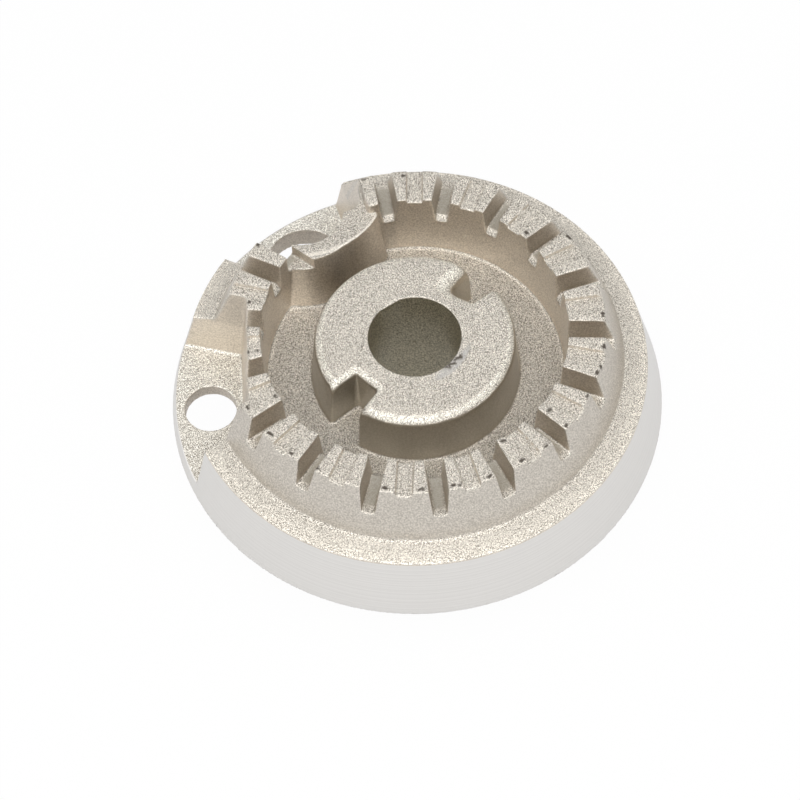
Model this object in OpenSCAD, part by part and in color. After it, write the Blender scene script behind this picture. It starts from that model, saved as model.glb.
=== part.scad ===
// Gas burner base: one die-cast aluminium body with a port crown, a gas channel,
// a slotted hub round the throat, a turned skirt and two passages in its rim.
// Z is the throat axis and points up. z = 0 is the lower end of the throat tube.
// +X runs through the middle of one hub notch.

/* [Skirt] */
// Radius of the lower rim
rim_r = 37.5; // [34:0.1:42]
// Height of the rim above the end of the throat tube
rim_z = 6; // [5:0.1:12]
// Radius where the turned cone ends, at the edge of the blasted band
lip_r = 34.8; // [33:0.1:38]
// Height of that edge above the rim
lip_h = 10.6; // [9:0.1:14]
// Wall of the casting
wall = 2.4; // [2:0.1:3]

/* [Port crown] */
// Radius at the foot of the crown's outer side
crown_foot_r = 31.4; // [30:0.1:32.5]
// Height of that foot above the rim
crown_foot_h = 11.4; // [10.8:0.1:14]
// Outer radius of the tooth tops
crown_or = 28.3; // [27:0.1:29.5]
// Inner radius of the tooth tops
crown_ir = 22.8; // [21.5:0.1:23.5]
// Height of the tooth tops above the rim
crown_h = 20; // [18:0.1:24]
// Number of full ports
port_count = 16; // [12:1:17]
// Angle from one port to the next
port_pitch = 20.33; // [20:0.01:20.5]
// Angle of the first port, counted on from it round the crown
port_start = 108.6; // [106:0.1:110]
// Height of the port floors above the rim
port_floor_h = 15.6; // [14:0.1:17]
// Port width at the tooth tops
port_top_w = 2.8; // [2:0.1:3.2]
// Port width at its floor
port_floor_w = 1.9; // [1.2:0.1:2]
// How far the rolled lip of a port floor reaches out from the channel wall
mouth_w = 0.7; // [0.3:0.1:1.2]
// How far that lip runs down the channel wall
mouth_d = 1.1; // [0.5:0.1:1.6]
// Depth of the shallow groove over each tooth
groove_d = 0.7; // [0.3:0.1:1.2]
// Width of that groove at the tooth top
groove_w = 3.0; // [1.5:0.1:3.5]

/* [Gas channel and hub] */
// Height of the channel floor above the rim
floor_h = 7.8; // [7:0.1:9]
// Outer radius of the channel floor
floor_or = 22.5; // [21:0.1:23]
// Radius of the hub at the channel floor
hub_foot_r = 15.75; // [14.5:0.05:17]
// Radius of the hub below its rounded edge
hub_r = 15.1; // [14:0.05:16]
// Height of the hub top above the rim
hub_h = 17.35; // [16:0.05:19]
// Rounding of the hub's upper edge
hub_round = 1.8; // [0.8:0.1:2.4]
// Radius of the throat bore
bore_r = 6.95; // [6:0.05:8]
// Outer radius of the throat tube at its lower end
tube_r = 9.3; // [9:0.1:10.5]
// Distance from the axis to the inner end of a hub notch
notch_in = 10.4; // [9.5:0.1:12]
// Notch width at its inner end
notch_in_w = 4.2; // [3:0.1:5]
// Notch width at the hub's outer side
notch_out_w = 5.6; // [4:0.1:7]

/* [Rim passages] */
// Angle of the small passage
small_a = 139.1; // [135:0.1:143]
// Distance from the rim's outer edge in to its centre
small_in = 6; // [5.5:0.1:6.2]
// Its radius
small_r = 3.9; // [3:0.1:4.2]
// Height of the pocket floor and the bay floor above the rim
shelf_h = 2.5; // [2:0.1:4]
// Angle of the pocket's first side
pocket_a0 = 120.0; // [117:0.1:123]
// Angle of the pocket's second side
pocket_a1 = 159.6; // [156:0.1:163]
// Distance from the axis to the pocket's flat inner wall, at the tooth tops
pocket_c = 24.75; // [24.5:0.05:25.5]
// Angle that inner wall faces
pocket_face_a = 136.2; // [133:0.1:140]
// Draft of that wall
pocket_draft = 5.9; // [2:0.1:8]
// Angle of the large passage
large_a = 79.8; // [79:0.1:82]
// Its distance from the axis
large_c = 29.5; // [29:0.1:30]
// Its radius
large_r = 5.8; // [5:0.1:6]
// How far the boss round it reaches below the rim
large_boss_d = 1.5; // [0.5:0.1:3]
// Wall of that boss
large_boss_w = 1.5; // [1:0.1:1.8]
// Angle of the middle of the bay over the large passage
bay_a = 80.6; // [79:0.1:82]
// Angle from there to either side of the bay, at the tooth tops
bay_half_a = 19.5; // [18:0.1:21]
// Draft of the bay sides
bay_draft = 5.4; // [1:0.1:8]
// Angle where the ramp on the bay's second side leaves the blasted band
ramp_a = 100.7; // [100:0.1:103]
// Slope of that ramp down to the bay floor
ramp_slope = 29; // [15:1:35]
// Distance from the axis to the centre of the bay's curved wall
bow_c = 28.5; // [28:0.1:29]
// Radius of that wall on the passage side
bow_in_r = 6.4; // [6.2:0.1:7]
// Thickness of that wall at its top
bow_w = 2.9; // [2:0.1:3.5]
// Height of its top above the rim
bow_h = 18; // [17:0.1:19]
// Draft of its channel side
bow_draft = 10; // [4:0.5:12]
// Angle of the low port beside the curved wall
low_port_a = 96.2; // [95:0.1:97]
// Its width
low_port_w = 2.9; // [2:0.1:3.2]
// Height of its floor above the rim
low_port_h = 16; // [15:0.1:17]

/* [Hidden] */
$fn = 96;
far = 2.2 * rim_r;
top_z = rim_z + crown_h;
floor_z = rim_z + floor_h;
port_z = rim_z + port_floor_h;
shelf_z = rim_z + shelf_h;
hub_z = rim_z + hub_h;
bow_z = rim_z + bow_h;
low_port_z = rim_z + low_port_h;
skirt_k = (rim_r - lip_r) / lip_h;
channel_core_h = floor_h - 1.2 * wall;
crown_core_h = crown_foot_h - 1.3 * wall;
core_step_r = floor_or + wall;
// Widening of a drafted core or tube over its height
core_draft = 0.5;
// Chamfer at the lower end of the throat tube
tube_edge = 0.5;
// Angle by which the solid ground under the pocket and the bay reaches past their sides
pad_margin_a = 4;
// How far a cut runs on past the surface that it opens
past = 1;
// How far the port and groove cuts run on into the channel
cut_in = 3;
// Distance from the axis to where the curved wall ends inside the crown
bow_end_r = crown_ir + 1.9;
// Distance from the axis to the bay's inner limit, behind the curved wall
bay_in_r = floor_or - 0.5;
large_x = large_c * cos(large_a);
large_y = large_c * sin(large_a);
small_x = (rim_r - small_in) * cos(small_a);
small_y = (rim_r - small_in) * sin(small_a);
bow_x = bow_c * cos(bay_a);
bow_y = bow_c * sin(bay_a);
bow_foot_r = bow_in_r + bow_w + (bow_h - floor_h) * tan(bow_draft);

// Outer form, channel and hub in one turned profile
module turned_body() {
    rotate_extrude() {
        polygon([[0, 0], [tube_r - tube_edge, 0], [tube_r, tube_edge],
                 [tube_r + core_draft, rim_z],
                 [rim_r, rim_z],
                 [lip_r, rim_z + lip_h],
                 [crown_foot_r, rim_z + crown_foot_h],
                 [crown_or, top_z], [crown_ir, top_z],
                 [floor_or, floor_z], [hub_foot_r, floor_z],
                 [hub_r, hub_z - hub_round], [hub_r - hub_round, hub_z],
                 [0, hub_z]]);
        translate([hub_r - hub_round, hub_z - hub_round]) circle(r = hub_round);
    }
}

// Wedge of space between two angles, from a height upward
module sector(a0, a1, z0, h) {
    translate([0, 0, z0])
        linear_extrude(h)
            polygon([[0, 0],
                     far * [cos(a0), sin(a0)],
                     far * [cos((a0 + a1) / 2), sin((a0 + a1) / 2)],
                     far * [cos(a1), sin(a1)]]);
}

// Core of the underside: shallow below the channel, deeper below the crown
module core() {
    rotate_extrude()
        polygon([[tube_r + core_draft, rim_z - past],
                 [tube_r + 2 * core_draft, rim_z + channel_core_h],
                 [core_step_r, rim_z + channel_core_h],
                 [core_step_r + core_draft, rim_z + crown_core_h],
                 [rim_r - skirt_k * crown_core_h - wall, rim_z + crown_core_h],
                 [rim_r - wall, rim_z],
                 [rim_r - wall, rim_z - past]]);
}

// The core stays clear of the pocket, the bay and its curved wall, which are cast
// down to the rim plane
module underside() {
    difference() {
        core();
        difference() {
            union() {
                sector(pocket_a0 - pad_margin_a, pocket_a1 + pad_margin_a, 0, top_z);
                sector(bay_a - bay_half_a - pad_margin_a,
                       bay_a + bay_half_a + pad_margin_a, 0, top_z);
            }
            cylinder(r = floor_or, h = top_z);
        }
        translate([bow_x, bow_y, 0])
            cylinder(r = bow_in_r + wall, h = top_z);
    }
}

// A bar along the radius with sloping sides: wt wide at the tooth tops, wb at its floor
module radial_bar(a, r0, r1, z0, wb, wt) {
    k = (wt - wb) / (top_z - z0);
    up = top_z + past - z0;
    rotate([0, 0, a])
        translate([r0, 0, z0])
            rotate([90, 0, 90])
                linear_extrude(r1 - r0)
                    polygon([[-wb / 2, 0], [wb / 2, 0],
                             [wb / 2 + k * up / 2, up], [-wb / 2 - k * up / 2, up]]);
}

// Rolled lip where a port floor of width w at height z runs down the channel wall
module mouth(a, z, w) {
    rotate([0, 0, a])
        translate([0, w / 2, z])
            rotate([90, 0, 0])
                linear_extrude(w)
                    polygon([[floor_or - past, past / 2], [crown_ir + mouth_w, past / 2],
                             [crown_ir + mouth_w, 0], [floor_or, -mouth_d],
                             [floor_or - past, -mouth_d]]);
}

module ports() {
    for (i = [0:port_count - 1])
        let (a = port_start + i * port_pitch) {
            radial_bar(a, crown_ir - cut_in, rim_r, port_z, port_floor_w, port_top_w);
            mouth(a, port_z, port_floor_w);
        }
    radial_bar(low_port_a, crown_ir - 1.5 * cut_in, crown_ir + cut_in, low_port_z,
               low_port_w, 1.05 * low_port_w);
}

module grooves() {
    for (i = [0:port_count - 2])
        radial_bar(port_start + (i + 0.5) * port_pitch, crown_ir - cut_in, rim_r,
                   top_z - groove_d, groove_w - 2 * groove_d, groove_w);
}

// Space on one side of a radial plane that leans by a draft below height z;
// side is 1 or -1
module radial_side(a, side, draft, z) {
    rotate([0, 0, a])
        translate([0, 0, z])
            rotate([side * draft, 0, 0])
                translate([0, side > 0 ? 0 : -far, -far])
                    cube([far, far, 2 * far]);
}

// Open bay over the large passage, with a ramp up to the blasted band on one side
module bay() {
    intersection() {
        radial_side(bay_a - bay_half_a, 1, bay_draft, top_z);
        radial_side(ramp_a, -1, ramp_slope, rim_z + lip_h);
        union() {
            radial_side(bay_a + bay_half_a, -1, bay_draft, top_z);
            difference() {
                cylinder(r = far, h = top_z);
                translate([0, 0, -past]) cylinder(r = crown_foot_r, h = top_z + 2 * past);
            }
        }
        translate([0, 0, shelf_z])
            difference() {
                cylinder(r = far, h = crown_h);
                translate([0, 0, -past]) cylinder(r = bay_in_r, h = crown_h + 2 * past);
            }
    }
}

// Curved wall that closes the channel in front of the large passage
module bow() {
    intersection() {
        translate([bow_x, bow_y, shelf_z])
            cylinder(r1 = bow_foot_r + (floor_z - shelf_z) * tan(bow_draft),
                     r2 = bow_in_r + bow_w, h = bow_z - shelf_z);
        cylinder(r = bow_end_r, h = top_z);
    }
}

// Pocket round the small passage, with a flat drafted inner wall
module pocket() {
    intersection() {
        sector(pocket_a0, pocket_a1, shelf_z, crown_h);
        rotate([0, 0, pocket_face_a])
            translate([pocket_c, 0, top_z])
                rotate([0, -pocket_draft, 0])
                    translate([0, -far, -far])
                        cube([far, 2 * far, 2 * far]);
    }
}

// Slots across the hub, narrower toward the throat
module notches() {
    k = (notch_out_w - notch_in_w) / (hub_foot_r - notch_in);
    x1 = hub_foot_r + past;
    w1 = notch_out_w + k * (x1 - hub_foot_r);
    for (s = [0, 180])
        rotate([0, 0, s])
            translate([0, 0, floor_z])
                linear_extrude(hub_h)
                    polygon([[notch_in, -notch_in_w / 2], [x1, -w1 / 2],
                             [x1, w1 / 2], [notch_in, notch_in_w / 2]]);
}

module burner_base() {
    color([0.78, 0.76, 0.72])
        difference() {
            union() {
                difference() {
                    union() {
                        difference() {
                            turned_body();
                            bay();
                            pocket();
                        }
                        bow();
                    }
                    underside();
                }
                translate([large_x, large_y, rim_z - large_boss_d])
                    cylinder(r = large_r + large_boss_w, h = large_boss_d + shelf_h / 2);
            }
            ports();
            grooves();
            notches();
            translate([bow_x, bow_y, shelf_z])
                cylinder(r = bow_in_r, h = crown_h);
            translate([large_x, large_y, 0])
                cylinder(r = large_r, h = top_z);
            translate([small_x, small_y, 0])
                cylinder(r = small_r, h = top_z);
            translate([0, 0, -past])
                cylinder(r = bore_r, h = far);
        }
}

burner_base();
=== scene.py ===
# %% [markdown]
# # A gas burner base, cast in aluminium
# This lesson dresses one die casting: the base of a hob burner, with a crown of
# teeth that the flames come out between, a ring channel for the gas, a hub with
# the throat bore, and a skirt that was turned on a lathe. The measured solid is
# loaded first and fixes every size. All that is made here keeps to it, in metres.

# %% Load the measured solid
import math
import bpy
import numpy as np
from mathutils import Matrix, Vector


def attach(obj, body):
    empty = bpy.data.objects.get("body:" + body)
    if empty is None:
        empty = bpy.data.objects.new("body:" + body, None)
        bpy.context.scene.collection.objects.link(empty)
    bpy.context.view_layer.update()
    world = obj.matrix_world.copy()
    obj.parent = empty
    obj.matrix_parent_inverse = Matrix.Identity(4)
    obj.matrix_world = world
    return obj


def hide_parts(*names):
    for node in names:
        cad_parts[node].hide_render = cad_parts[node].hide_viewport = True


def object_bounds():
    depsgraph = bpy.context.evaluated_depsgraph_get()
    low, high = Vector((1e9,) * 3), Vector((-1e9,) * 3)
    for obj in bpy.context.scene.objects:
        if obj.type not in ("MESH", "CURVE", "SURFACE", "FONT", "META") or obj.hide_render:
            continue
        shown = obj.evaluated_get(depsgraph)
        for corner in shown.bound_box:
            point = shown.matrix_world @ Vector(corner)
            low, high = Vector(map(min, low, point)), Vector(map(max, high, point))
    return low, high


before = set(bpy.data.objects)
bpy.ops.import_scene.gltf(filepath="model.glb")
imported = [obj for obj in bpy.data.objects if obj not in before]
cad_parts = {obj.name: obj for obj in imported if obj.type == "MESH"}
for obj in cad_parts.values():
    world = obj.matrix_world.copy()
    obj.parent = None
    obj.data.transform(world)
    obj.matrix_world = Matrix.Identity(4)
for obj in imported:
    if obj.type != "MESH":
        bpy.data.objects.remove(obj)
cad_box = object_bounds()
MM = 0.001


def in_mm(box):
    return [[round(v / MM, 2) for v in corner] for corner in box]


print("solid:", in_mm(cad_box))

# %% [markdown]
# ## The camera
# The photograph looks down on the part at 59 degrees, with a long lens, so that
# near and far teeth are almost the same size. A camera could be aimed at a target,
# but this one has a slight roll as well, so its three axes are written out: to the
# right, up, and backwards. Together they are the columns of its rotation.

# %% Place the camera
lens = bpy.data.cameras.new("camera")
lens.lens, lens.sensor_width = 139.31, 36.0
lens.clip_start, lens.clip_end = 0.01, 20.0
camera = bpy.data.objects.new("camera", lens)
bpy.context.scene.collection.objects.link(camera)
right = Vector((0.689102, -0.724232, -0.025029))
up = Vector((0.627611, 0.579189, 0.520236))
back = Vector((-0.362274, -0.374204, 0.853656))
camera.matrix_world = (Matrix.Translation((-0.17397, -0.17593, 0.41089))
                       @ Matrix((right, up, back)).transposed().to_4x4())
bpy.context.scene.camera = camera
bpy.context.scene.view_settings.view_transform = "Standard"
print("camera:", round(camera.location.length, 3), "m from the origin")

# %% [markdown]
# ## Nodes written as sums
# A material is a net of nodes, and its sums are hard to read as a net. This class
# wraps one output socket. Adding or multiplying wrapped sockets adds the Math node
# for it, so a mask can be written as one line. Every other node comes from the
# method `node`, which takes its type, its settings and the values of its inputs.

# %% Define the socket wrapper
class Wire:
    def __init__(self, tree, socket=None):
        self.tree, self.socket = tree, socket

    def node(self, kind, settings=None, inputs=None, out=0):
        made = self.tree.nodes.new(kind)
        for name, value in (settings or {}).items():
            setattr(made, name, value)
        for name, value in (inputs or {}).items():
            if isinstance(value, Wire):
                self.tree.links.new(value.socket, made.inputs[name])
            else:
                made.inputs[name].default_value = value
        return Wire(self.tree, made.outputs[out]) if made.outputs else Wire(self.tree)

    def math(self, operation, *others):
        values = dict(enumerate((self,) + others))
        return self.node("ShaderNodeMath", {"operation": operation}, values)

    def __add__(self, other): return self.math("ADD", other)
    def __radd__(self, other): return self.math("ADD", other)
    def __mul__(self, other): return self.math("MULTIPLY", other)
    def __rmul__(self, other): return self.math("MULTIPLY", other)
    def __sub__(self, other): return self.math("SUBTRACT", other)
    def __rsub__(self, other): return (self * -1.0).math("ADD", other)
    def __abs__(self): return self.math("ABSOLUTE")

    def step(self, low, high, start=0.0, end=1.0):
        """A soft step from start to end as this value goes from low to high."""
        return self.node("ShaderNodeMapRange", {"interpolation_type": "SMOOTHSTEP"},
                         {"Value": self, "From Min": low, "From Max": high,
                          "To Min": start, "To Max": end})

    def mix(self, first, second):
        """Goes from the first colour to the second as this value goes from 0 to 1."""
        return self.node("ShaderNodeMix", {"data_type": "RGBA"},
                         {0: self, 6: first, 7: second}, out=2)


print("wrapper ready:", [n for n in vars(Wire) if not n.startswith("_")])

# %% [markdown]
# ## A white studio
# The part stands on white paper in soft light from all sides. Metal has hardly any
# colour of its own: it shows what surrounds it. So the world is white for the camera
# and for reflections, and a little dimmer as light. The paper is nearly white
# to the camera by itself and takes a small share of real light, which keeps a
# faint shadow where the part stands.

# %% Make the world and the floor
world = bpy.data.worlds.new("studio")
bpy.context.scene.world = world
world.use_nodes = True
world.node_tree.nodes.clear()
net = Wire(world.node_tree)
ray = lambda kind: net.node("ShaderNodeLightPath", out=kind)
seen = ray("Is Camera Ray") + ray("Is Glossy Ray") + ray("Is Transmission Ray")
sky = net.node("ShaderNodeBackground", None,
               {"Color": (1.0, 1.0, 1.0, 1.0), "Strength": seen.step(0.0, 1.0, 0.9, 1.0)})
net.node("ShaderNodeOutputWorld", None, {"Surface": sky})

paper = bpy.data.materials.new("white_paper")
paper.use_nodes = True
paper.node_tree.nodes.clear()
net = Wire(paper.node_tree)
seen = ray("Is Camera Ray") * 0.97 + (ray("Is Glossy Ray") + ray("Is Transmission Ray")) * 0.2
lit = net.node("ShaderNodeBsdfDiffuse", None, {"Color": (0.62, 0.62, 0.62, 1.0)})
white = net.node("ShaderNodeEmission", None, {"Color": (1.0, 1.0, 1.0, 1.0), "Strength": 1.0})
cover = net.node("ShaderNodeMixShader", None, {0: seen, 1: lit, 2: white})
net.node("ShaderNodeOutputMaterial", None, {"Surface": cover})

bpy.ops.object.select_all(action="DESELECT")
bpy.ops.mesh.primitive_plane_add(size=6.0, location=(0.0, 0.0, cad_box[0].z - 0.02 * MM))
floor = bpy.context.object
floor.name = "paper_floor"
bpy.ops.object.transform_apply(location=True, rotation=True, scale=True)
floor.data.materials.append(paper)
print("floor at", round(cad_box[0].z / MM, 2), "mm")

# %% [markdown]
# ## Three soft lamps
# A high panel on the camera's side lights the tops and leaves the far walls of
# the ports darker. A low one at the left and a weaker one at the right brighten
# the skirt. All are area lamps, because small lamps give hard shadows.

# %% Hang the lamps
def panel(name, place, size, power):
    light = bpy.data.lights.new(name, "AREA")
    light.shape, light.size, light.energy = "DISK", size, power
    lamp = bpy.data.objects.new(name, light)
    lamp.location = place
    lamp.rotation_mode = "QUATERNION"
    lamp.rotation_quaternion = (-Vector(place)).to_track_quat("-Z", "Y")
    bpy.context.scene.collection.objects.link(lamp)
    return lamp


lamps = [panel("front_panel", (-0.22, -0.23, 0.51), 0.32, 2.2),
         panel("left_panel", (-0.44, 0.30, 0.28), 0.80, 0.7),
         panel("right_panel", (0.28, -0.44, 0.28), 0.80, 0.5)]
print("lamps:", [lamp.name for lamp in lamps])

# %% [markdown]
# ## The casting
# A die casting has no sharp edges: the metal shrinks, and the parts are blasted
# with shot, which rounds every corner by a few tenths of a millimetre. Bevels on
# each edge would do this, but where drafted ports, grooves and cones meet there
# are hundreds of odd corners. So a copy of the solid is rebuilt from small even
# cells and then relaxed, which rounds the corners all over at once.

# %% Copy the solid
cast_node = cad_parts["burner_base"]
bpy.ops.object.select_all(action="DESELECT")
cast_node.select_set(True)
bpy.context.view_layer.objects.active = cast_node
bpy.ops.object.duplicate()
body = bpy.context.view_layer.objects.active
body.name = "cast_body"
bpy.ops.object.mode_set(mode="EDIT")
bpy.ops.mesh.select_all(action="SELECT")
bpy.ops.mesh.remove_doubles(threshold=0.001 * MM)
bpy.ops.object.mode_set(mode="OBJECT")
print("copy:", len(body.data.vertices), "points", len(body.data.polygons), "faces")


def apply(piece, kind, **settings):
    """Adds a modifier to a piece and applies it at once."""
    bpy.context.view_layer.objects.active = piece
    made = piece.modifiers.new(kind, kind)
    for name, value in settings.items():
        setattr(made, name, value)
    bpy.ops.object.modifier_apply(modifier=made.name)


# %% [markdown]
# ## Where the photograph goes past the solid
# The wall that curves round the large passage is fuller than in the solid at its
# right end, and a small web joins it to the last tooth. Both are simple blocks: a
# few corners are placed, and a convex hull closes them like a skin. A third block
# is the small flat on the rim of the bore. They are joined to the copy.

# %% Add the web, the wall's end and the flat
def hull(name, corners):
    """A closed block around the given corners, in millimetres."""
    mesh = bpy.data.meshes.new(name)
    mesh.from_pydata([Vector(corner) * MM for corner in corners], [], [])
    block = bpy.data.objects.new(name, mesh)
    bpy.context.scene.collection.objects.link(block)
    bpy.ops.object.select_all(action="DESELECT")
    block.select_set(True)
    bpy.context.view_layer.objects.active = block
    bpy.ops.object.mode_set(mode="EDIT")
    bpy.ops.mesh.select_all(action="SELECT")
    bpy.ops.mesh.convex_hull()
    bpy.ops.object.mode_set(mode="OBJECT")
    return block


def turned_to(angle, along, across, height):
    """A place given along and across the direction of an angle in degrees."""
    spot = Matrix.Rotation(math.radians(angle), 4, "Z") @ Vector((along, across, height))
    return tuple(spot)


BAY_END = 61.1
web = hull("web", [turned_to(BAY_END, *spot) for spot in [
    (25.2, 0.7, 24.0), (34.6, 1.2, 16.5), (28.2, 0.0, 25.9), (36.5, 1.85, 8.7), (25.2, 1.75, 8.7),
    (25.2, -0.6, 24.0), (33.6, -0.6, 16.6), (28.2, -0.6, 25.0), (36.0, -0.6, 8.7), (25.2, -0.6, 8.7)]])

WALL_TOP, WALL_FOOT = 24.0, 13.6
wall_corners = []
for height, reach in ((WALL_TOP, 13.0), (WALL_FOOT, 14.6)):
    wall_corners += [(11.6, 22.6, height), (1.5, 21.0, height)]
    for degrees in range(-123, -72, 5):
        spread = math.radians(degrees)
        wall_corners.append((8.0 + reach * math.cos(spread), 31.3 + reach * math.sin(spread), height))
wall_end = hull("wall_end", wall_corners)

flat = hull("flat", [turned_to(77.0, along, across, height) for across in (-1.95, 1.95)
                     for along, height in ((6.7, 23.34), (7.4, 23.34), (6.96, 19.5), (7.4, 19.5))])
for block in (web, wall_end, flat):
    apply(body, "BOOLEAN", operation="UNION", object=block, solver="EXACT")
    bpy.data.objects.remove(block)
print("blocks added;", len(body.data.polygons), "faces")

# %% [markdown]
# ## Casting pits
# Small dark holes sit at the corners of many teeth, where gas was caught as the
# metal froze. They are real hollows, so each is a squashed ball that is cut out of
# the solid before it is rebuilt. Their places go round the crown as an angle and
# a distance from the axis in millimetres.

# %% Cut the pits
TOOTH_TOP = 26.0
PITS = [(-102.0, 27.8), (-103.5, 23.5), (-94.0, 28.0), (-84.2, 28.0), (-83.2, 24.6), (-72.5, 28.0),
        (-63.5, 28.0), (-61.5, 28.2), (-54.3, 28.2), (-43.0, 28.0), (-12.5, 28.1), (-1.7, 23.7),
        (47.0, 27.4), (59.5, 27.9), (100.5, 27.9), (122.5, 25.0), (132.5, 24.7), (142.5, 24.9),
        (143.0, 23.4), (162.5, 27.9), (163.5, 23.5), (174.5, 27.6), (184.0, 27.8), (193.5, 27.8),
        (215.3, 27.7), (225.5, 27.7), (235.0, 27.6), (237.0, 27.8), (246.0, 27.8)]
HUB_TOP = 23.35
SCUFFS = [(-95.3, 7.2), (-93.0, 7.5), (-90.5, 7.2), (-88.4, 7.4), (-86.0, 7.6), (-82.0, 7.3),
          (-79.0, 7.4), (-76.2, 7.6), (-75.0, 7.9), (-73.0, 7.6)]
dice = np.random.default_rng(5)
HOLES = []
for angle, radius in PITS:
    size = dice.uniform(0.65, 1.15)
    for _ in range(3):
        HOLES.append((math.radians(angle) + dice.uniform(-0.012, 0.012) * size,
                      radius + dice.uniform(-0.12, 0.12), TOOTH_TOP,
                      0.17 * size, dice.uniform(0.15, 0.3) * size))
for angle, radius in SCUFFS:
    HOLES.append((math.radians(angle), radius, HUB_TOP, 0.15, dice.uniform(0.14, 0.28)))
bpy.ops.object.select_all(action="DESELECT")
balls = []
for turn, radius, height, deep, wide in HOLES:
    place = (radius * math.cos(turn) * MM, radius * math.sin(turn) * MM, height * MM)
    bpy.ops.mesh.primitive_ico_sphere_add(subdivisions=2, radius=MM, location=place,
                                          rotation=(0.0, 0.0, turn), scale=(deep, wide, 0.4))
    balls.append(bpy.context.object)
for ball in balls:
    ball.select_set(True)
bpy.ops.object.join()
pits = bpy.context.object
apply(body, "BOOLEAN", operation="DIFFERENCE", object=pits, solver="EXACT", use_self=True)
bpy.data.objects.remove(pits)
print("holes:", len(HOLES), "cut;", len(body.data.polygons), "faces")

# %% [markdown]
# ## Soft edges
# Now the rebuild. The cells are a little under 0.2 mm, about a pixel of the photograph.
# A light pass of smoothing rounds all corners. A longer one works only where the
# casting has real fillets: round the channel floor, at the foot of the crown, and
# at the foot of the walls in the pocket and the bay.

# %% Rebuild the surface and round its corners
CELL = 0.18
apply(body, "REMESH", mode="VOXEL", voxel_size=CELL * MM)


def points(piece):
    flat = np.zeros(len(piece.data.vertices) * 3, np.float32)
    piece.data.vertices.foreach_get("co", flat)
    return flat.reshape(-1, 3) / MM


def mark(piece, name, chosen):
    """Puts the chosen points into a vertex group."""
    group = piece.vertex_groups.new(name=name)
    group.add(np.nonzero(chosen)[0].tolist(), 1.0, "REPLACE")


def near(x, y, place, radius):
    return np.hypot(x - place[0], y - place[1]) < radius


SMALL, LARGE = (-23.81, 20.62), (5.22, 29.03)
x, y, z = points(body).T
r = np.hypot(x, y)
skirt = abs(r + (z - 6.0) * 2.7 / 10.6 - 37.5) < 0.3
mark(body, "as_cast", ~skirt & (r > 7.5))
channel = (r < 24.2) & (z > 12.6) & (z < 15.4)
shelves = (r > 22.0) & (r < 36.5) & (z > 7.6) & (z < 10.2)
shelves &= ~near(x, y, SMALL, 5.2) & ~near(x, y, LARGE, 7.0)
mark(body, "fillets", (channel | shelves) & ~skirt)
last_tooth = (z > 24.2) & near(x, y, (11.0, 20.0), 1.6)
mark(body, "last_tooth", last_tooth)
lumps = bpy.data.textures.new("casting_lumps", "CLOUDS")
lumps.noise_scale, lumps.noise_depth = 1.1 * MM, 2
apply(body, "DISPLACE", texture=lumps, strength=0.09 * MM, mid_level=1.0, vertex_group="as_cast")
apply(body, "SMOOTH", factor=0.5, iterations=14, vertex_group="fillets")
apply(body, "SMOOTH", factor=0.5, iterations=60, vertex_group="last_tooth")
mark(body, "soft", ~((r < 7.4) & (z > 22.6)) & ~((r > 34.3) & (z > 16.0) & (z < 17.0)))
apply(body, "SMOOTH", factor=0.5, iterations=4, vertex_group="soft")
apply(body, "SMOOTH", factor=0.5, iterations=1)
print("rebuilt:", len(body.data.vertices), "points")

# %% [markdown]
# ## Wide and crisp edges
# Two kinds of edge need their own shape. The slots in the hub have wide round edges,
# like a roll. Any point close to such an edge is moved onto a circle that touches the
# top and the slot's wall. The grooves over the teeth are the opposite: crisp and
# narrow. Points there are raised or lowered until the groove has steep sides.

# %% Shape the slots and the grooves
def ramp(value, low, high):
    """0 below low, 1 above high, and straight between."""
    return np.clip((value - low) / (high - low), 0.0, 1.0)


SLOT_END, SLOT_HALF, SLOT_FLARE = 10.4, 2.1, 0.131
place = points(body).astype(float)
x, y, z = place.T
r = np.hypot(x, y)
roll = np.where(x < 0, 1.5, 1.2 + 1.9 * ramp(y, -1.8, 1.0))
lean = math.hypot(1.0, SLOT_FLARE)
from_end = SLOT_END - abs(x)
from_side = (abs(y) - SLOT_HALF - SLOT_FLARE * (abs(x) - SLOT_END)) / lean
inward = np.where(from_end > from_side, from_end, from_side)
below = HUB_TOP - 1.8 + np.sqrt(np.clip(1.8 ** 2 - np.clip(r - 13.3, 0.0, 1.8) ** 2, 0.0, None)) - z
close = (inward > -0.2) & (inward < roll) & (below > -0.2) & (below < roll) & (r < 15.6)
gap = np.maximum(np.hypot(roll - inward, roll - below), roll)
shift_in = (roll - inward) * (1 - roll / gap) * close
shift_down = (roll - below) * (1 - roll / gap) * close
end_wall = from_end > from_side
place[:, 0] -= np.sign(x) * np.where(end_wall, shift_in, shift_in * SLOT_FLARE / lean)
place[:, 1] += np.sign(y) * np.where(end_wall, 0.0, shift_in / lean)
place[:, 2] -= shift_down
corner = (np.hypot(from_end, from_side) < 0.7) & (inward > -0.25) & (inward < 0.05)
corner &= (z > 14.3) & (below > 1.5)
place[:, 0] += np.sign(x) * from_end * (corner & end_wall)
place[:, 1] += np.sign(y) * from_side * (corner & ~end_wall)
print("rolled:", int((shift_down > 0.01).sum()), "points, sharpened:", int(corner.sum()))

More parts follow.
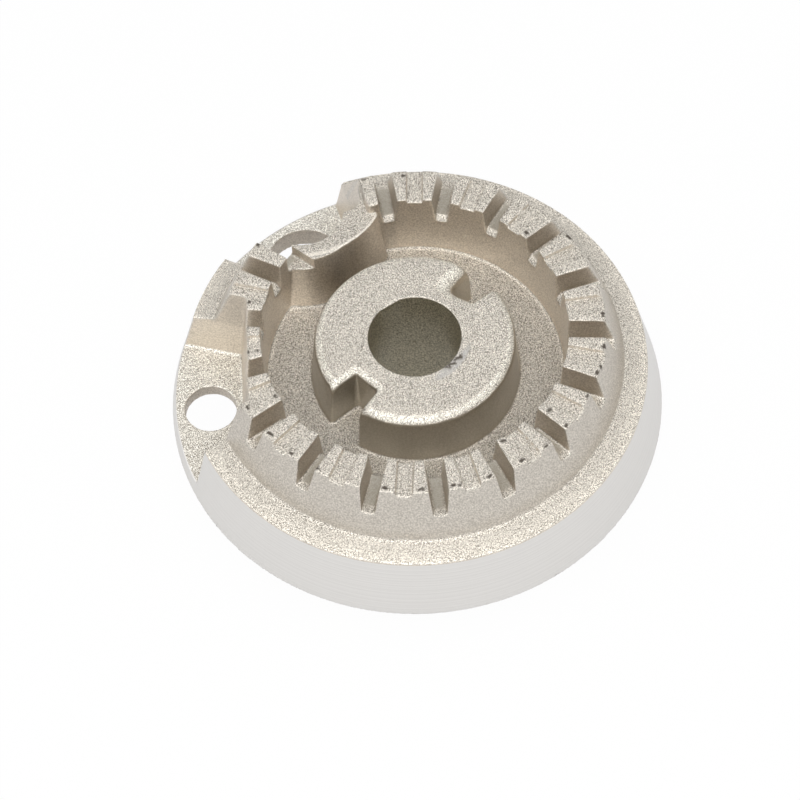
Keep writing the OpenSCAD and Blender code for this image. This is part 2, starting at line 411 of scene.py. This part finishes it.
PORT_PITCH, PORT_START, GROOVE_DEEP = 20.33, 108.6, 0.7
turn = (np.degrees(np.arctan2(y, x)) - PORT_START) % 360.0
off = (turn / PORT_PITCH - np.floor(turn / PORT_PITCH) - 0.5) * PORT_PITCH
across = abs(r * np.sin(np.radians(off)))
made = GROOVE_DEEP * ramp(across, 1.5, 0.8)
wanted = GROOVE_DEEP * ramp(across, 1.3, 1.1)
crown = (r > 22.0) & (r < 30.0) & (turn < 15 * PORT_PITCH) & (across < 1.8)
place[:, 2] += (made - wanted) * ramp(z, 23.5, 25.2) * crown
print("groove points:", int(crown.sum()))
body.data.vertices.foreach_set("co", (place * MM).astype(np.float32).ravel())
body.data.update()

# %% [markdown]
# ## Where the pits are
# The material has to know the pits, to paint shade into them. A number is stored on each
# point: 1 inside a pit, falling to 0 just outside it. The material reads it by
# its name, and it goes along with the mesh.

# %% Store the pit mask
where = points(body)
depth = np.zeros(len(where), np.float32)
for turn, radius, height, deep, wide in HOLES:
    off = where - np.array([radius * math.cos(turn), radius * math.sin(turn), height])
    along = off[:, 0] * math.cos(turn) + off[:, 1] * math.sin(turn)
    across = off[:, 1] * math.cos(turn) - off[:, 0] * math.sin(turn)
    away = np.sqrt((along / deep) ** 2 + (across / wide) ** 2 + (off[:, 2] / 0.7) ** 2)
    depth = np.maximum(depth, np.clip(1.6 - away, 0.0, 0.6) / 0.6)
body.data.attributes.new("pit", "FLOAT", "POINT").data.foreach_set("value", depth)
mark(body, "pits", depth > 0.0)
print("pit mask on", int((depth > 0.5).sum()), "points")

# %% [markdown]
# ## Fewer faces
# The even cells are far more than flat walls need. Collapsing edges keeps the
# small faces where the surface bends and joins them where it is flat. The pits are
# left out, or they would lose their shape. A point that strays past the box of the
# solid by a few thousandths of a millimetre is put back.

# %% Thin the mesh
apply(body, "DECIMATE", ratio=175000 / (2 * len(body.data.polygons)),
      vertex_group="pits", invert_vertex_group=True, vertex_group_factor=10.0)
inside = np.clip(points(body) * MM, list(cad_box[0]), list(cad_box[1]))
body.data.vertices.foreach_set("co", inside.astype(np.float32).ravel())
body.data.update()
bpy.ops.object.select_all(action="DESELECT")
body.select_set(True)
bpy.context.view_layer.objects.active = body
bpy.ops.object.shade_smooth()
print("thinned:", sum(len(p.vertices) - 2 for p in body.data.polygons), "triangles")

# %% [markdown]
# ## Cast and turned aluminium
# One metal with three finishes. Shot falling from above left the upward faces
# rough and speckled. The drafted walls stayed smoother and look darker,
# because they mirror each other. The skirt was turned and has fine rings.
# First come the place on the part in millimetres, its slope, and three noises.
# The speckles are about as large as a pixel of the photograph.

# %% Read the place and the slope
metal = bpy.data.materials.new("cast_aluminium")
metal.use_nodes = True
metal.node_tree.nodes.clear()
net = Wire(metal.node_tree)
place = net.node("ShaderNodeVectorMath", {"operation": "SCALE"},
                 {0: net.node("ShaderNodeTexCoord", out="Object"), "Scale": 1.0 / MM})
axis = lambda vector, out: net.node("ShaderNodeSeparateXYZ", None, {0: vector}, out=out)
px, py, pz = (axis(place, out) for out in ("X", "Y", "Z"))
slope = axis(net.node("ShaderNodeNewGeometry", out="Normal"), "Z")
pr = (px * px + py * py).math("SQRT")


def noise(scale, detail, rough):
    at = net.node("ShaderNodeMapping", None, {"Vector": place, "Rotation": (0.7, 0.5, 0.3)})
    return net.node("ShaderNodeTexNoise", None, {"Vector": at, "Scale": scale, "Detail": detail,
                                                 "Roughness": rough})


grain = noise(8.8, 2.0, 0.6)
fine = noise(5.0, 1.0, 0.5)
rings = net.node("ShaderNodeTexNoise", {"noise_dimensions": "1D"},
                 {"W": pz - pr, "Scale": 3.2, "Detail": 3.0, "Roughness": 0.7})
print("started the metal with", len(metal.node_tree.nodes), "nodes")

# %% [markdown]
# ## Where each finish lies
# A mask is 1 where a finish lies and 0 elsewhere. The turned skirt is a cone, and its
# upper edge is a little ragged. A face counts as blasted if it points upwards.
# Around the rest of the part the zones are rings: the bore, the hub, the channel, the
# low pockets behind the crown, and what stands above them.

# %% Make the masks of the finishes and zones
def near_ring(low, high):
    """1 where the distance from the axis lies between low and high."""
    return pr.step(low - 0.2, low) * pr.step(high, high + 0.3, 1.0, 0.0)


def from_post(x, y):
    """The distance from an upright line at x and y."""
    across, along = px - x, py - y
    return (across * across + along * along).math("SQRT")


cone = abs(pr + (pz - 6.0) * (2.7 / 10.6) - 37.5)
ragged = pz + (grain - 0.5) * 0.5
turned = cone.step(0.10, 0.2, 1.0, 0.0) * ragged.step(16.2, 16.35, 1.0, 0.0)
port_floor = (slope.step(0.8, 0.95) * pz.step(21.1, 21.3) * pz.step(22.3, 22.5, 1.0, 0.0)
              * pr.step(23.2, 23.6) * pr.step(28.2, 29.0, 1.0, 0.0))
blasted = slope.step(0.40, 0.58) * (1 - turned) * (1 - port_floor * 0.8)
smooth = (1 - blasted) * (1 - turned)

bore = pr.step(7.3, 7.6, 1.0, 0.0)
inner = pr.step(15.9, 16.1, 1.0, 0.0)
channel = pr.step(22.85, 22.95, 1.0, 0.0) * (1 - inner)
low = pz.step(16.2, 17.2, 1.0, 0.0) * (1 - inner) * (1 - channel) * (1 - turned)
outer = (1 - inner) * (1 - channel) * (1 - low)
crown_side = outer * abs(pr + (pz - 17.4) * (3.1 / 8.6) - 31.4).step(0.35, 0.6, 1.0, 0.0)
band = outer * pr.step(31.8, 32.2)
print("masks:", len(metal.node_tree.nodes), "nodes")

# %% [markdown]
# ## Painted light and shade
# Here light and shade are painted into the colour. The round edges of the
# hub and of its slots get a painted highlight, and the pockets are painted lighter.
# The walls of the hub get painted shade. The sum of all these is a factor, which later
# scales the colour. The masks are fixed on the part, so none of it depends on where the camera stands.

# %% Sum up the shade
# Painted light on the wall of the right slot.
right_slot_light = px.step(10.0, 10.2) * inner
# Painted highlight on the round edges of the hub and its slots.
roll_highlight = inner * (1 - bore) * pz.step(20.5, 21.5) * slope.step(0.93, 0.995, 1.0, 0.0)
# Painted highlight along the fillet at the outer edge of the channel floor.
crease_highlight = near_ring(22.05, 22.4) * pz.step(12.8, 13.1) * pz.step(14.3, 14.7, 1.0, 0.0)
# Painted shade that dims a glint on the web's top edge beside the last tooth.
web_edge_shade = (from_post(12.5, 23.0).step(0.8, 1.8, 1.0, 0.0) * pz.step(24.0, 24.4)
            * slope.step(0.85, 0.95, 1.0, 0.0))
from_bow = from_post(8.0, 31.3)
# Painted light and shade on the smooth walls: the channel's walls away from the curved wall, the right
# slot's wall, the bore and the pockets are painted lighter, and the hub's walls and the crown's side
# darker.
walls = (channel * from_bow.step(14.6, 15.6) * 0.18 - outer * 0.02 - crown_side * 0.06 - inner * 0.18
         + right_slot_light * 0.24 + bore * 0.11 + low * 0.08)
# Painted light and shade on the blasted faces: the pockets lighter, the channel floor darker, and a
# painted highlight on the round edges.
shade = (1 + smooth * walls + blasted * (low * 0.3 - channel * 0.06 + roll_highlight * 0.25)
         + crease_highlight * 0.15 - web_edge_shade * 0.3)
print("shade:", len(metal.node_tree.nodes), "nodes")

# %% [markdown]
# ## Colours
# The blasted metal is a mix of bright and dark specks. A painted highlight lightens
# them into a light line along the edge of the curved wall, and they turn into a grey scuff
# where the rim of the bore was rubbed. Walls are a warm grey, greener in the bore and the hub.

# %% Mix the colours
# Painted highlight: a light line along the top edge of the curved wall.
bow_edge_highlight = (from_bow.step(12.5, 12.85) * from_bow.step(13.2, 13.4, 1.0, 0.0)
            * pz.step(23.2, 23.4) * pz.step(24.3, 24.5, 1.0, 0.0))
speckle = (bow_edge_highlight * 0.45 + grain.step(0.43, 0.57)).math("MINIMUM", 1.0)
tone = speckle.mix((0.11, 0.097, 0.08, 1.0), (0.87, 0.82, 0.735, 1.0))
tone = (band * 0.25).mix(tone, (0.50, 0.47, 0.42, 1.0))
rubbed = (near_ring(7.0, 8.3) * pz.step(23.0, 23.2) * px.step(-4.0, -2.5)
          * py.step(-7.4, -6.6, 1.0, 0.0))
tone = (rubbed * fine.step(0.3, 0.6, 0.9, 0.5)).mix(tone, (0.42, 0.41, 0.40, 1.0))

cloudy = fine.step(0.3, 0.7)
wall = cloudy.mix((0.49, 0.44, 0.38, 1.0), (0.76, 0.695, 0.61, 1.0))
wall = (crown_side * 0.5).mix(wall, cloudy.mix((0.43, 0.41, 0.375, 1.0), (0.74, 0.71, 0.66, 1.0)))
wall = (inner * 0.5).mix(wall, (0.50, 0.465, 0.38, 1.0))
olive = fine.step(0.36, 0.64).mix((0.27, 0.246, 0.18, 1.0), (0.83, 0.77, 0.61, 1.0))
wall = (bore * 0.85).mix(wall, olive)
# The port floors are less blasted, which is their own finish, and their dark colour is painted shade
# in the deep narrow ports.
wall = (port_floor * 0.75).mix(wall, (0.30, 0.28, 0.23, 1.0))
bright = rings.step(0.2, 0.8).mix((0.67, 0.655, 0.635, 1.0), (0.76, 0.745, 0.725, 1.0))

colour = turned.mix(blasted.mix(wall, tone), bright)
colour = net.node("ShaderNodeVectorMath", {"operation": "SCALE"}, {0: colour, "Scale": shade})
# Painted shade inside the pits.
pit = net.node("ShaderNodeAttribute", {"attribute_name": "pit"}, out="Fac")
colour = pit.mix(colour, (0.10, 0.085, 0.07, 1.0))
print("colours:", len(metal.node_tree.nodes), "nodes")

# %% [markdown]
# ## The surface
# Blasted metal scatters more light than the walls, so it is rougher and counts as
# a little less metallic. The bumps are small: a few hundredths of a millimetre of
# grain, and turning lines finer still.

# %% Finish the aluminium
height = grain * blasted * 0.06 + grain * smooth * 0.02 + rings * turned * 0.003
relief = net.node("ShaderNodeBump", None, {"Strength": 1.0, "Distance": MM, "Height": height})
surface = net.node("ShaderNodeBsdfPrincipled", None,
                   {"Base Color": colour, "Normal": relief,
                    "Metallic": blasted.step(0.0, 1.0, 0.95, 0.75),
                    "Roughness": blasted.step(0.0, 1.0, 0.36, 0.56) - turned * 0.08})
net.node("ShaderNodeOutputMaterial", None, {"Surface": surface})
body.data.materials.clear()
body.data.materials.append(metal)
print("aluminium:", len(metal.node_tree.nodes), "nodes")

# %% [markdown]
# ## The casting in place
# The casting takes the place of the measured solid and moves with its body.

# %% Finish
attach(body, "root")
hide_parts("burner_base")
